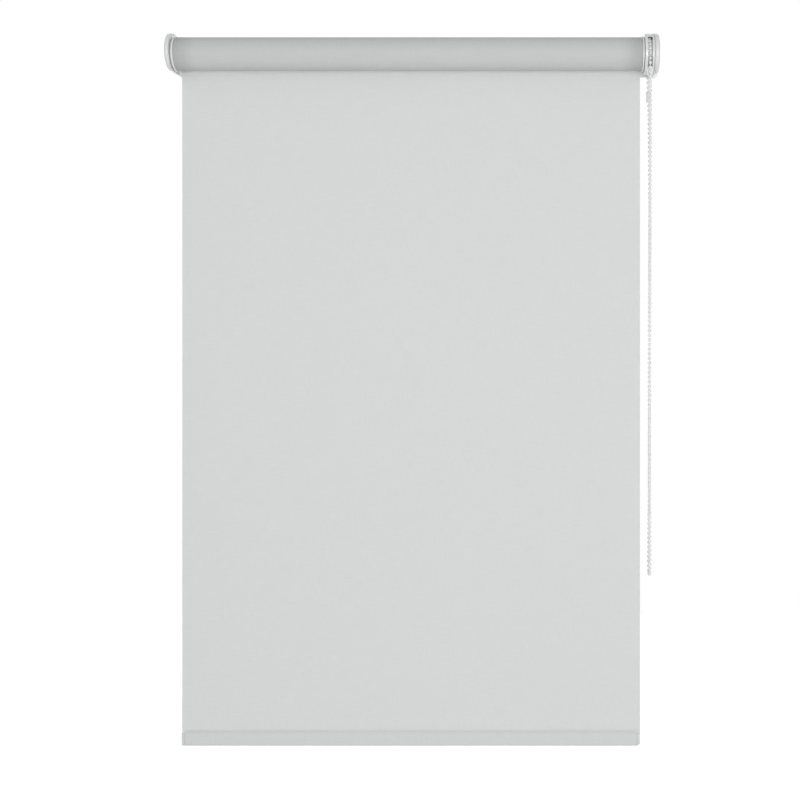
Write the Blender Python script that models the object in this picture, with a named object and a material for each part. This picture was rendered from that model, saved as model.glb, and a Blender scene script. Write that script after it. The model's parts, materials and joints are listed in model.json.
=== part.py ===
"""Roller blind worked by a side chain, in metres, +Z up.

The origin is on the wall, at the height of the roller's axis, midway across the cloth.
+X is the right-hand side seen from the room, +Y points into the wall, the room is at -Y.
The cloth hangs from the back of the roll. The chain drive is at +X, the idle end at -X.
"""

import math

import bmesh
import bpy
from mathutils import Vector

# Overall sizes
CLOTH_WIDTH = 0.600
DROP = 0.901  # roller axis to the foot of the hem
AXIS_TO_WALL = 0.029
GAP = 0.0003  # between pieces that touch

# Cloth
CLOTH_THICKNESS = 0.0005
ROLL_DIAMETER = 0.0427
HEM_HEIGHT = 0.017
HEM_THICKNESS = 0.0052
HEM_WALL = 0.0006

# Roller tube, its key groove and the strip that holds the cloth in it
TUBE_DIAMETER = 0.028
TUBE_WALL = 0.0012
GROOVE_WIDTH = 0.006
GROOVE_DEPTH = 0.002
STRIP_THICKNESS = 0.0014

# End flanges of the idle plug and the drive crown
FLANGE_DIAMETER = 0.0445
FLANGE_THICKNESS = 0.002

# Idle end
PLUG_LENGTH = 0.038
PLUG_COLLAR_DIAMETER = 0.038
PLUG_COLLAR_LENGTH = 0.002  # outside the flange, towards the bracket
PLUG_BORE = 0.010
PLUG_CAP_THICKNESS = 0.002
PLUG_CAP_SPIGOT = 0.004
PIN_DIAMETER = 0.006
PIN_REACH = 0.0082  # past the end of the cloth
PIN_COLLAR_DIAMETER = 0.0092
PIN_COLLAR_THICKNESS = 0.002
PIN_TAIL_DIAMETER = 0.004
PIN_TAIL_LENGTH = 0.010
PIN_SPRING_TURNS = 8
PIN_SPRING_DIAMETER = 0.0064
PIN_SPRING_WIRE = 0.0007

# Drive end, as distances outwards from the end of the cloth
CROWN_LENGTH = 0.045
CROWN_BORE = 0.0184
CHAIN_PLANE = 0.0095
GUARD_INNER = 0.0030
GUARD_OUTER = 0.0150
GUARD_DIAMETER = 0.052
GUARD_WALL = 0.0016
GUARD_WINDOW_CLEARANCE = 0.00085  # each side of the beads
GUARD_WINDOW_TOP = 0.0178
GUARD_WINDOW_FOOT = -0.0220
NOSE_FOOT = -0.0320
NOSE_TIP_WIDTH = 0.0045
NOSE_THICKNESS = 0.0024

# Bead chain and its pulley
BEAD_DIAMETER = 0.0045
BEAD_PITCH = 0.006
PULLEY_BEADS = 20
PULLEY_WIDTH = 0.0072
PULLEY_RIM_HEIGHT = 0.0018  # past the chain's own pitch radius
CHAIN_DROP = 0.672
CONNECTOR_LENGTH = 0.013
CONNECTOR_WALL = 0.001
CONNECTOR_POINT = 12  # of the back strand's own points

# Clutch inside the crown
HUB_DIAMETER = 0.012
HUB_LENGTH_INSIDE = 0.038
HUB_BOSS_SIDE = 0.008
HUB_BOSS_LENGTH = 0.0028
HUB_PILOT_DEPTH = 0.012
SLEEVE_DIAMETER = 0.0178
SLEEVE_BORE = 0.0152
WRAP_WIRE = 0.0009
WRAP_TURNS = 6
WRAP_LENGTH = 0.010
WRAP_STARTS = (-0.034, -0.019)
WASHER_DIAMETER = 0.0168
WASHER_THICKNESS = 0.0016
SCREW_DIAMETER = 0.004
SCREW_HEAD_DIAMETER = 0.008
SCREW_HEAD_HEIGHT = 0.003

# Brackets and the covers that clip over them
PLATE_THICKNESS = 0.0015
LEFT_PLATE_INNER = 0.0050
RIGHT_PLATE_INNER = 0.0153
FLANGE_HEIGHT = 0.048
LEFT_FLANGE_REACH = 0.0090  # how far the wall flange runs in behind the roll
RIGHT_FLANGE_REACH = 0.0035
SCREW_HOLE_DIAMETER = 0.0045
SCREW_HOLE_SPACING = 0.032
LEFT_COVER_DIAMETER = 0.0483
LEFT_COVER_RISE = 0.0022  # the bracket's rounded end is a little above the pin
LEFT_COVER_OUTER = 0.0118
RIGHT_COVER_DIAMETER = 0.052
RIGHT_COVER_OUTER = 0.0227
COVER_WALL = 0.0015
COVER_EDGE = 0.0030

# Weight bar in the hem and its end caps
BAR_THICKNESS = 0.0034
BAR_HEIGHT = 0.0150
BAR_WALL = 0.0008
CAP_LENGTH = 0.0040
CAP_SPIGOT = 0.010
CAP_CORNER = 0.0035

MERGE = 1e-6
SIDES_LARGE = 48
SIDES_SMALL = 24
WIRE_POINTS = 12  # points in one turn of a spring

HALF_CLOTH = CLOTH_WIDTH / 2
AXIS = Vector((0, -AXIS_TO_WALL, 0))
ROLL_RADIUS = ROLL_DIAMETER / 2
TUBE_RADIUS = TUBE_DIAMETER / 2
TUBE_BORE_RADIUS = TUBE_RADIUS - TUBE_WALL
PLUG_RADIUS = TUBE_BORE_RADIUS - GAP
FLANGE_RADIUS = FLANGE_DIAMETER / 2
CLOTH_FRONT = AXIS.y + ROLL_RADIUS + GAP
CLOTH_MIDDLE = CLOTH_FRONT + CLOTH_THICKNESS / 2
PITCH_RADIUS = PULLEY_BEADS * BEAD_PITCH / (2 * math.pi)


def clear_scene():
    for old in list(bpy.data.objects):
        bpy.data.objects.remove(old, do_unlink=True)


def material(name, colour, roughness, metallic=0.0):
    made = bpy.data.materials.new(name)
    made.use_nodes = True
    shader = made.node_tree.nodes["Principled BSDF"]
    shader.inputs["Base Color"].default_value = (*colour, 1)
    shader.inputs["Roughness"].default_value = roughness
    shader.inputs["Metallic"].default_value = metallic
    return made


def axis_empty(name, location):
    empty = bpy.data.objects.new(name, None)
    empty.location = location
    empty.empty_display_size = 0.02
    bpy.context.scene.collection.objects.link(empty)
    return empty


def add_piece(name, data, finish, parent, location):
    """A named object whose origin is at a world location, carried by an empty."""
    data.materials.append(finish)
    piece = bpy.data.objects.new(name, data)
    piece.parent = parent
    piece.location = Vector(location) - parent.location
    bpy.context.scene.collection.objects.link(piece)
    return piece


def mesh_of(name, shape):
    bmesh.ops.remove_doubles(shape, verts=shape.verts, dist=MERGE)
    bmesh.ops.recalc_face_normals(shape, faces=shape.faces)
    data = bpy.data.meshes.new(name)
    shape.to_mesh(data)
    shape.free()
    data.shade_smooth()
    data.set_sharp_from_angle(angle=math.radians(30))
    return data


def turned(name, outline, sides, finish, parent):
    """A piece turned about the roller's axis, from (x, radius) points."""
    shape = bmesh.new()
    points = [shape.verts.new((x, 0, radius)) for x, radius in outline]
    edges = []
    for start, end in zip(points, points[1:] + points[:1]):
        if start.co.z > 0 or end.co.z > 0:
            edges.append(shape.edges.new((start, end)))
    bmesh.ops.spin(shape, geom=points + edges, cent=(0, 0, 0), axis=(1, 0, 0),
                   angle=2 * math.pi, steps=sides, use_merge=True)
    return add_piece(name, mesh_of(name, shape), finish, parent, AXIS)


def prism(name, outline, x_low, x_high, finish, parent, centre):
    """A straight piece along X, from (y, z) points about a centre (y, z)."""
    shape = bmesh.new()
    face = shape.faces.new([shape.verts.new((x_low, y, z)) for y, z in outline])
    grown = bmesh.ops.extrude_face_region(shape, geom=[face])["geom"]
    moved = [part for part in grown if isinstance(part, bmesh.types.BMVert)]
    bmesh.ops.translate(shape, verts=moved, vec=(x_high - x_low, 0, 0))
    return add_piece(name, mesh_of(name, shape), finish, parent, (0, *centre))


def block(name, low, high, finish, parent):
    """A box from its lowest to its highest corner."""
    shape = bmesh.new()
    bmesh.ops.create_cube(shape, size=1)
    low = Vector(low)
    size = Vector(high) - low
    for vert in shape.verts:
        vert.co = Vector((vert.co[i] * size[i] for i in range(3)))
    return add_piece(name, mesh_of(name, shape), finish, parent, low + size / 2)


def combine(piece, tool, operation):
    """Cuts the tool out of the piece, or joins it on, and keeps the tool as a guide."""
    tool.hide_render = True
    tool.display_type = "WIRE"
    boolean = piece.modifiers.new(tool.name, "BOOLEAN")
    boolean.operation = operation
    boolean.solver = "EXACT"
    boolean.object = tool


def ring_points(radius, sides, start=0.0, turn=2 * math.pi):
    """Points (y, z) on an arc that starts at -Y and turns towards +Z."""
    closed = abs(turn) >= 2 * math.pi
    steps = sides if closed else sides + 1
    angles = [start + turn * step / sides for step in range(steps)]
    return [(-radius * math.cos(angle), radius * math.sin(angle)) for angle in angles]


def bracket_outline(radius, back):
    """A half circle towards the room with straight sides back to the wall."""
    nose = ring_points(radius, SIDES_SMALL, -math.pi / 2, math.pi)
    return [(back, -radius), *nose, (back, radius)]


def slot_outline(thickness, height):
    """A flat bar's section with round edges."""
    radius = thickness / 2
    rise = height / 2 - radius
    steps = 6
    arc = [math.pi * step / steps for step in range(steps + 1)]
    top = [(radius * math.cos(angle), rise + radius * math.sin(angle)) for angle in arc]
    foot = [(-y, -z) for y, z in top]
    return top + foot


def keyed_outline(radius, half_width, depth):
    """A circle with a square notch at the top, open at the circle."""
    edge = math.asin(half_width / radius)
    arc = 2 * math.pi - 2 * edge
    points = []
    for step in range(SIDES_LARGE + 1):
        angle = edge + arc * step / SIDES_LARGE
        points.append((radius * math.sin(angle), radius * math.cos(angle)))
    foot = radius - depth
    return [*points, (-half_width, foot), (half_width, foot)]


def wire(name, points, diameter, resolution, finish, parent, location):
    """A round wire or cord through the points, with closed ends."""
    curve = bpy.data.curves.new(name, "CURVE")
    curve.dimensions = "3D"
    curve.bevel_depth = diameter / 2
    curve.bevel_resolution = resolution
    curve.use_fill_caps = True
    spline = curve.splines.new("POLY")
    spline.points.add(len(points) - 1)
    for target, point in zip(spline.points, points):
        target.co = (*(Vector(point) - Vector(location)), 1)
    return add_piece(name, curve, finish, parent, location)


def coil_spring(name, x_start, x_end, turns, diameter, wire_diameter, finish, parent):
    """A helix about the roller's axis between two planes across X."""
    steps = turns * WIRE_POINTS
    radius = diameter / 2
    start = x_start + wire_diameter / 2
    length = x_end - x_start - wire_diameter
    points = []
    for step in range(steps + 1):
        angle = 2 * math.pi * step / WIRE_POINTS
        x = start + length * step / steps
        points.append(AXIS + Vector((x, radius * math.cos(angle), radius * math.sin(angle))))
    return wire(name, points, wire_diameter, 1, finish, parent, AXIS)


def smooth_route(points, steps):
    """A Catmull-Rom curve through the route's own points."""
    ends = [points[0] * 2 - points[1], *points, points[-1] * 2 - points[-2]]
    route = []
    for before, start, end, after in zip(ends, ends[1:], ends[2:], ends[3:]):
        for step in range(steps):
            t = step / steps
            route.append(
                start
                + (end - before) * (t / 2)
                + (before * 2 - start * 5 + end * 4 - after) * (t * t / 2)
                + (start * 3 - before - end * 3 + after) * (t**3 / 2)
            )
    return [*route, points[-1]]


def key_cutter(name, x_low, x_high, finish, parent):
    """What the tube's inward key takes out of a plug that fits the tube."""
    half_width = GROOVE_WIDTH / 2 + TUBE_WALL + GAP
    foot = TUBE_RADIUS - GROOVE_DEPTH - TUBE_WALL - GAP
    low = AXIS + Vector((x_low, -half_width, foot))
    high = AXIS + Vector((x_high, half_width, TUBE_RADIUS))
    return block(name, low, high, finish, parent)


clear_scene()

white_nylon = material("white_nylon", (0.80, 0.80, 0.79), 0.38)
white_abs = material("white_abs", (0.79, 0.80, 0.80), 0.32)
powder_coat = material("white_powder_coat", (0.72, 0.73, 0.73), 0.45)
spring_steel = material("spring_steel", (0.42, 0.42, 0.43), 0.30, 1.0)
zinc_steel = material("zinc_plated_steel", (0.60, 0.61, 0.62), 0.35, 1.0)
aluminium = material("mill_aluminium", (0.72, 0.73, 0.74), 0.40, 1.0)
grey_cloth = material("grey_polyester_cloth", (0.56, 0.58, 0.57), 0.85)
clear_pvc = material("pvc_strip", (0.60, 0.60, 0.58), 0.45)
bead_plastic = material("bead_plastic", (0.76, 0.76, 0.75), 0.35)
cutter_finish = material("cutter", (1.0, 0.2, 0.1), 0.5)

wall_frame = axis_empty("wall_frame", (0, 0, 0))
roller_axis = axis_empty("roller_axis", AXIS)
pin_axis = axis_empty("pin_axis", AXIS)
bar_slide = axis_empty("bar_slide", (0, CLOTH_MIDDLE, -DROP))


# ---- Roller tube, wound cloth and the strip that locks the cloth in the tube's groove

tube = prism("roller_tube", keyed_outline(TUBE_RADIUS, GROOVE_WIDTH / 2, GROOVE_DEPTH),
             -HALF_CLOTH, HALF_CLOTH, aluminium, roller_axis, (AXIS.y, 0))
tube_bore = prism(
    "tube_bore_cutter",
    keyed_outline(TUBE_BORE_RADIUS, GROOVE_WIDTH / 2 + TUBE_WALL, GROOVE_DEPTH),
    -HALF_CLOTH - TUBE_WALL, HALF_CLOTH + TUBE_WALL, cutter_finish, roller_axis, (AXIS.y, 0),
)
combine(tube, tube_bore, "DIFFERENCE")

strip_foot = TUBE_RADIUS - GROOVE_DEPTH + GAP
block(
    "fabric_spline",
    AXIS + Vector((-HALF_CLOTH + GAP, GAP - GROOVE_WIDTH / 2, strip_foot)),
    AXIS + Vector((HALF_CLOTH - GAP, GROOVE_WIDTH / 2 - GAP, strip_foot + STRIP_THICKNESS)),
    clear_pvc, roller_axis,
)

wound_core = TUBE_RADIUS + GAP
turned("fabric_roll",
       [(-HALF_CLOTH, wound_core), (HALF_CLOTH, wound_core),
        (HALF_CLOTH, ROLL_RADIUS), (-HALF_CLOTH, ROLL_RADIUS)],
       SIDES_LARGE, grey_cloth, roller_axis)


# ---- Idle end: plug, end cap, sprung pin

plug_face = -HALF_CLOTH - GAP
plug_end = -HALF_CLOTH + PLUG_LENGTH
pin_hole_radius = PIN_DIAMETER / 2 + GAP
pin_step = plug_face + FLANGE_THICKNESS
plug_bore_radius = PLUG_BORE / 2
flange_outer = plug_face - FLANGE_THICKNESS
collar_outer = flange_outer - PLUG_COLLAR_LENGTH
collar_radius = PLUG_COLLAR_DIAMETER / 2
plug = turned(
    "idle_plug",
    [(collar_outer, pin_hole_radius), (pin_step, pin_hole_radius),
     (pin_step, plug_bore_radius), (plug_end, plug_bore_radius),
     (plug_end, PLUG_RADIUS), (plug_face, PLUG_RADIUS),
     (plug_face, FLANGE_RADIUS), (flange_outer, FLANGE_RADIUS),
     (flange_outer, collar_radius), (collar_outer, collar_radius)],
    SIDES_LARGE, white_nylon, roller_axis,
)
combine(plug, key_cutter("plug_key_cutter", plug_face, plug_end + GAP, cutter_finish, roller_axis),
        "DIFFERENCE")

cap_face = plug_end + GAP
spigot_radius = plug_bore_radius - GAP
spigot_end = cap_face - PLUG_CAP_SPIGOT
end_cap = turned(
    "plug_end_cap",
    [(cap_face + PLUG_CAP_THICKNESS, 0), (spigot_end, 0), (spigot_end, spigot_radius),
     (cap_face, spigot_radius), (cap_face, PLUG_RADIUS),
     (cap_face + PLUG_CAP_THICKNESS, PLUG_RADIUS)],
    SIDES_LARGE, white_nylon, roller_axis,
)
cap_back = cap_face + PLUG_CAP_THICKNESS + GAP
combine(end_cap, key_cutter("cap_key_cutter", plug_end, cap_back, cutter_finish, roller_axis),
        "DIFFERENCE")

collar_front = pin_step + GAP
collar_back = collar_front + PIN_COLLAR_THICKNESS
pin_tip = -HALF_CLOTH - PIN_REACH
pin_bevel = PIN_DIAMETER / 8
turned(
    "idle_pin",
    [(pin_tip, 0), (pin_tip, PIN_DIAMETER / 2 - pin_bevel),
     (pin_tip + pin_bevel, PIN_DIAMETER / 2), (collar_front, PIN_DIAMETER / 2),
     (collar_front, PIN_COLLAR_DIAMETER / 2), (collar_back, PIN_COLLAR_DIAMETER / 2),
     (collar_back, PIN_TAIL_DIAMETER / 2),
     (collar_back + PIN_TAIL_LENGTH, PIN_TAIL_DIAMETER / 2),
     (collar_back + PIN_TAIL_LENGTH, 0)],
    SIDES_SMALL, zinc_steel, pin_axis,
)
coil_spring("idle_pin_spring", collar_back + GAP, spigot_end - GAP, PIN_SPRING_TURNS,
            PIN_SPRING_DIAMETER, PIN_SPRING_WIRE, spring_steel, pin_axis)


# ---- Drive end: crown, pulley with its sleeve, fixed hub, wrap springs, washer and screw

crown_face = HALF_CLOTH + GAP
crown_end = HALF_CLOTH - CROWN_LENGTH
crown = turned(
    "drive_crown",
    [(crown_end, CROWN_BORE / 2), (crown_face + FLANGE_THICKNESS, CROWN_BORE / 2),
     (crown_face + FLANGE_THICKNESS, FLANGE_RADIUS), (crown_face, FLANGE_RADIUS),
     (crown_face, PLUG_RADIUS), (crown_end, PLUG_RADIUS)],
    SIDES_LARGE, white_nylon, roller_axis,
)
combine(crown, key_cutter("crown_key_cutter", crown_end - GAP, crown_face, cutter_finish, roller_axis),
        "DIFFERENCE")

chain_x = HALF_CLOTH + CHAIN_PLANE
pulley_inner = chain_x - PULLEY_WIDTH / 2
pulley_outer = chain_x + PULLEY_WIDTH / 2
groove_half = BEAD_DIAMETER / 2 + GAP
groove_floor = PITCH_RADIUS - groove_half
rim_radius = PITCH_RADIUS + PULLEY_RIM_HEIGHT
sleeve_end = HALF_CLOTH - HUB_LENGTH_INSIDE + GAP
turned(
    "chain_sprocket",
    [(sleeve_end, SLEEVE_BORE / 2), (pulley_outer, SLEEVE_BORE / 2),
     (pulley_outer, rim_radius), (chain_x + groove_half, rim_radius),
     (chain_x + groove_half, groove_floor), (chain_x - groove_half, groove_floor),
     (chain_x - groove_half, rim_radius), (pulley_inner, rim_radius),
     (pulley_inner, SLEEVE_DIAMETER / 2), (sleeve_end, SLEEVE_DIAMETER / 2)],
    SIDES_LARGE, white_nylon, roller_axis,
)

hub_end = HALF_CLOTH - HUB_LENGTH_INSIDE
hub_shoulder = HALF_CLOTH + GUARD_OUTER
pilot_radius = SCREW_DIAMETER / 2 + GAP
hub = turned(
    "clutch_hub",
    [(hub_end, pilot_radius), (hub_end + HUB_PILOT_DEPTH, pilot_radius),
     (hub_end + HUB_PILOT_DEPTH, 0), (hub_shoulder, 0),
     (hub_shoulder, HUB_DIAMETER / 2), (hub_end, HUB_DIAMETER / 2)],
    SIDES_SMALL, white_nylon, wall_frame,
)
boss_half = HUB_BOSS_SIDE / 2
hub_boss = block(
    "hub_boss_guide",
    AXIS + Vector((hub_shoulder - HUB_BOSS_LENGTH, -boss_half, -boss_half)),
    AXIS + Vector((hub_shoulder + HUB_BOSS_LENGTH, boss_half, boss_half)),
    cutter_finish, wall_frame,
)
combine(hub, hub_boss, "UNION")

wrap_diameter = (HUB_DIAMETER + SLEEVE_BORE) / 2
for label, wrap_start in zip(("inner", "outer"), WRAP_STARTS):
    coil_spring(f"clutch_spring_{label}", HALF_CLOTH + wrap_start,
                HALF_CLOTH + wrap_start + WRAP_LENGTH, WRAP_TURNS, wrap_diameter,
                WRAP_WIRE, spring_steel, roller_axis)

washer_face = hub_end - GAP
washer_back = washer_face - WASHER_THICKNESS
turned(
    "clutch_washer",
    [(washer_back, pilot_radius), (washer_face, pilot_radius),
     (washer_face, WASHER_DIAMETER / 2), (washer_back, WASHER_DIAMETER / 2)],
    SIDES_SMALL, zinc_steel, wall_frame,
)
head_face = washer_back - GAP
turned(
    "clutch_screw",
    [(head_face - SCREW_HEAD_HEIGHT, 0), (head_face - SCREW_HEAD_HEIGHT, SCREW_HEAD_DIAMETER / 3),
     (head_face - SCREW_HEAD_HEIGHT / 2, SCREW_HEAD_DIAMETER / 2),
     (head_face, SCREW_HEAD_DIAMETER / 2), (head_face, SCREW_DIAMETER / 2),
     (hub_end + HUB_PILOT_DEPTH - GAP, SCREW_DIAMETER / 2),
     (hub_end + HUB_PILOT_DEPTH - GAP, 0)],
    SIDES_SMALL, zinc_steel, wall_frame,
)


# ---- Chain guard round the pulley, with a window at the front and a way out at the back

guard_radius = GUARD_DIAMETER / 2
drum_radius = guard_radius - GUARD_WALL
guard_low = HALF_CLOTH + GUARD_INNER
guard_high = HALF_CLOTH + GUARD_OUTER
sleeve_hole = SLEEVE_DIAMETER / 2 + GAP
guard = turned(
    "chain_guard",
    [(guard_low, sleeve_hole), (guard_low + GUARD_WALL, sleeve_hole),
     (guard_low + GUARD_WALL, drum_radius), (guard_high - GUARD_WALL, drum_radius),
     (guard_high - GUARD_WALL, HUB_DIAMETER / 2 + GAP), (guard_high, HUB_DIAMETER / 2 + GAP),
     (guard_high, guard_radius), (guard_low, guard_radius)],
    SIDES_LARGE, white_abs, wall_frame,
)
window_half = BEAD_DIAMETER / 2 + GUARD_WINDOW_CLEARANCE
window_low = chain_x - window_half
window_high = chain_x + window_half
front_window = block(
    "front_window_cutter",
    (window_low, AXIS.y - guard_radius - GAP, GUARD_WINDOW_FOOT),
    (window_high, AXIS.y - PITCH_RADIUS + BEAD_DIAMETER, GUARD_WINDOW_TOP),
    cutter_finish, wall_frame,
)
combine(guard, front_window, "DIFFERENCE")
back_strand = AXIS.y + PITCH_RADIUS
exit_half = BEAD_DIAMETER
rear_exit = block(
    "rear_exit_cutter",
    (window_low, back_strand - exit_half, -guard_radius),
    (window_high, AXIS.y + guard_radius + GAP, -BEAD_DIAMETER),
    cutter_finish, wall_frame,
)
combine(guard, rear_exit, "DIFFERENCE")


def guide_nose():
    """A tapered tongue under the drum, just behind the front strand of the chain."""
    top = GUARD_WINDOW_FOOT + GUARD_WALL
    front = AXIS.y - math.sqrt(guard_radius**2 - GUARD_WINDOW_FOOT**2)
    half = (GUARD_OUTER - GUARD_INNER) / 2 - GUARD_WALL
    tip_half = NOSE_TIP_WIDTH / 2
    shoulder = -guard_radius
    outline = [(chain_x - half, top), (chain_x - half, shoulder), (chain_x - tip_half, NOSE_FOOT),
               (chain_x + tip_half, NOSE_FOOT), (chain_x + half, shoulder), (chain_x + half, top)]
    shape = bmesh.new()
    face = shape.faces.new([shape.verts.new((x, front, z)) for x, z in outline])
    grown = bmesh.ops.extrude_face_region(shape, geom=[face])["geom"]
    moved = [part for part in grown if isinstance(part, bmesh.types.BMVert)]
    bmesh.ops.translate(shape, verts=moved, vec=(0, NOSE_THICKNESS, 0))
    data = mesh_of("guide_nose_guide", shape)
    return add_piece("guide_nose_guide", data, cutter_finish, wall_frame, (0, 0, 0))


combine(guard, guide_nose(), "UNION")


# ---- Brackets, each a bent plate with a wall flange, and their covers

def bracket(name, side, plate_inner, plate_radius, rise, flange_reach):
    """A side plate across X with a flange on the wall that runs in behind the roll."""
    inner = side * (HALF_CLOTH + plate_inner)
    outer = inner + side * PLATE_THICKNESS
    plate = prism(name, bracket_outline(plate_radius, AXIS_TO_WALL), min(inner, outer),
                  max(inner, outer), powder_coat, wall_frame, (AXIS.y, rise))
    flange_end = side * (HALF_CLOTH - flange_reach)
    root_end = inner - side * PLATE_THICKNESS / 2
    root_foot = max(rise - plate_radius, -FLANGE_HEIGHT / 2)
    root_top = min(rise + plate_radius, FLANGE_HEIGHT / 2)
    root = block(f"{name}_root_guide",
                 (min(outer, root_end), -PLATE_THICKNESS, root_foot),
                 (max(outer, root_end), 0, root_top), cutter_finish, wall_frame)
    wide_start = inner - side * GAP
    flange = block(f"{name}_flange_guide",
                   (min(wide_start, flange_end), -PLATE_THICKNESS, -FLANGE_HEIGHT / 2),
                   (max(wide_start, flange_end), 0, FLANGE_HEIGHT / 2), cutter_finish, wall_frame)
    combine(plate, root, "UNION")
    combine(plate, flange, "UNION")
    hole_x = (wide_start + flange_end) / 2
    for label, height in (("upper", SCREW_HOLE_SPACING / 2), ("lower", -SCREW_HOLE_SPACING / 2)):
        shape = bmesh.new()
        bmesh.ops.create_cone(shape, cap_ends=True, segments=SIDES_SMALL,
                              radius1=SCREW_HOLE_DIAMETER / 2, radius2=SCREW_HOLE_DIAMETER / 2,
                              depth=3 * PLATE_THICKNESS)
        hole_name = f"{name}_{label}_hole_cutter"
        drill = add_piece(hole_name, mesh_of(hole_name, shape), cutter_finish, wall_frame,
                          (hole_x, -PLATE_THICKNESS / 2, height))
        drill.rotation_euler = (math.pi / 2, 0, 0)
        combine(plate, drill, "DIFFERENCE")
    return plate


def cover(name, side, rim, face, diameter, rise):
    """A moulded cap with a rounded outer edge, open towards the bracket and the wall."""
    low = min(side * (HALF_CLOTH + rim), side * (HALF_CLOTH + face))
    high = max(side * (HALF_CLOTH + rim), side * (HALF_CLOTH + face))
    back = AXIS_TO_WALL - GAP
    shell = prism(name, bracket_outline(diameter / 2, back), low, high, white_abs,
                  wall_frame, (AXIS.y, rise))
    shape = bmesh.new()
    shape.from_mesh(shell.data)
    outer_x = low if side < 0 else high
    rounded = []
    for edge in shape.edges:
        ends = [vert.co for vert in edge.verts]
        on_face = all(abs(co.x - outer_x) < MERGE for co in ends)
        on_wall = all(abs(co.y - back) < MERGE for co in ends)
        if on_face and not on_wall:
            rounded.append(edge)
    bmesh.ops.bevel(shape, geom=rounded, offset=COVER_EDGE, segments=4, profile=0.5,
                    affect="EDGES", clamp_overlap=True)
    bmesh.ops.recalc_face_normals(shape, faces=shape.faces)
    shape.to_mesh(shell.data)
    shape.free()
    shell.data.shade_smooth()
    shell.data.set_sharp_from_angle(angle=math.radians(30))
    hollow_low = low - COVER_WALL if side > 0 else low + COVER_WALL
    hollow_high = high - COVER_WALL if side > 0 else high + COVER_WALL
    hollow = prism(f"{name}_hollow_cutter",
                   bracket_outline(diameter / 2 - COVER_WALL, AXIS_TO_WALL + COVER_WALL),
                   hollow_low, hollow_high, cutter_finish, wall_frame, (AXIS.y, rise))
    combine(shell, hollow, "DIFFERENCE")
    return shell


left_plate = bracket("bracket_left", -1, LEFT_PLATE_INNER,
                     LEFT_COVER_DIAMETER / 2 - COVER_WALL - GAP, LEFT_COVER_RISE,
                     LEFT_FLANGE_REACH)
pin_hole = turned(
    "pin_hole_cutter",
    [(-HALF_CLOTH - LEFT_PLATE_INNER + PLATE_THICKNESS, 0),
     (-HALF_CLOTH - LEFT_PLATE_INNER - 2 * PLATE_THICKNESS, 0),
     (-HALF_CLOTH - LEFT_PLATE_INNER - 2 * PLATE_THICKNESS, pin_hole_radius),
     (-HALF_CLOTH - LEFT_PLATE_INNER + PLATE_THICKNESS, pin_hole_radius)],
    SIDES_SMALL, cutter_finish, wall_frame,
)
combine(left_plate, pin_hole, "DIFFERENCE")
cover("cover_left", -1, LEFT_PLATE_INNER - GAP, LEFT_COVER_OUTER, LEFT_COVER_DIAMETER,
      LEFT_COVER_RISE)

right_plate = bracket("bracket_right", 1, RIGHT_PLATE_INNER,
                      RIGHT_COVER_DIAMETER / 2 - COVER_WALL - GAP, 0, RIGHT_FLANGE_REACH)
boss_hole_half = boss_half + GAP
boss_hole = block(
    "boss_hole_cutter",
    AXIS + Vector((hub_shoulder, -boss_hole_half, -boss_hole_half)),
    AXIS + Vector((hub_shoulder + 3 * PLATE_THICKNESS, boss_hole_half, boss_hole_half)),
    cutter_finish, wall_frame,
)
combine(right_plate, boss_hole, "DIFFERENCE")
cover("cover_right", 1, RIGHT_PLATE_INNER, RIGHT_COVER_OUTER, RIGHT_COVER_DIAMETER, 0)


# ---- Hanging cloth, hem pocket, weight bar and its end caps

hem_middle = -DROP + HEM_HEIGHT / 2
pocket_half = HALF_CLOTH - CAP_LENGTH - GAP
cloth_foot = -DROP + HEM_HEIGHT + GAP
block("fabric_drop", (-HALF_CLOTH, CLOTH_FRONT, cloth_foot),
      (HALF_CLOTH, CLOTH_FRONT + CLOTH_THICKNESS, 0), grey_cloth, wall_frame)

pocket = prism("hem_pocket", slot_outline(HEM_THICKNESS, HEM_HEIGHT), -pocket_half, pocket_half,
               grey_cloth, bar_slide, (CLOTH_MIDDLE, hem_middle))
pocket_room = prism("hem_pocket_cutter",
                    slot_outline(HEM_THICKNESS - 2 * HEM_WALL, HEM_HEIGHT - 2 * HEM_WALL),
                    -HALF_CLOTH, HALF_CLOTH, cutter_finish, bar_slide, (CLOTH_MIDDLE, hem_middle))
combine(pocket, pocket_room, "DIFFERENCE")

bar = prism("weight_bar", slot_outline(BAR_THICKNESS, BAR_HEIGHT), -pocket_half, pocket_half,
            aluminium, bar_slide, (CLOTH_MIDDLE, hem_middle))
bar_room = prism("weight_bar_cutter",
                 slot_outline(BAR_THICKNESS - 2 * BAR_WALL, BAR_HEIGHT - 2 * BAR_WALL),
                 -HALF_CLOTH, HALF_CLOTH, cutter_finish, bar_slide, (CLOTH_MIDDLE, hem_middle))
combine(bar, bar_room, "DIFFERENCE")


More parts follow.
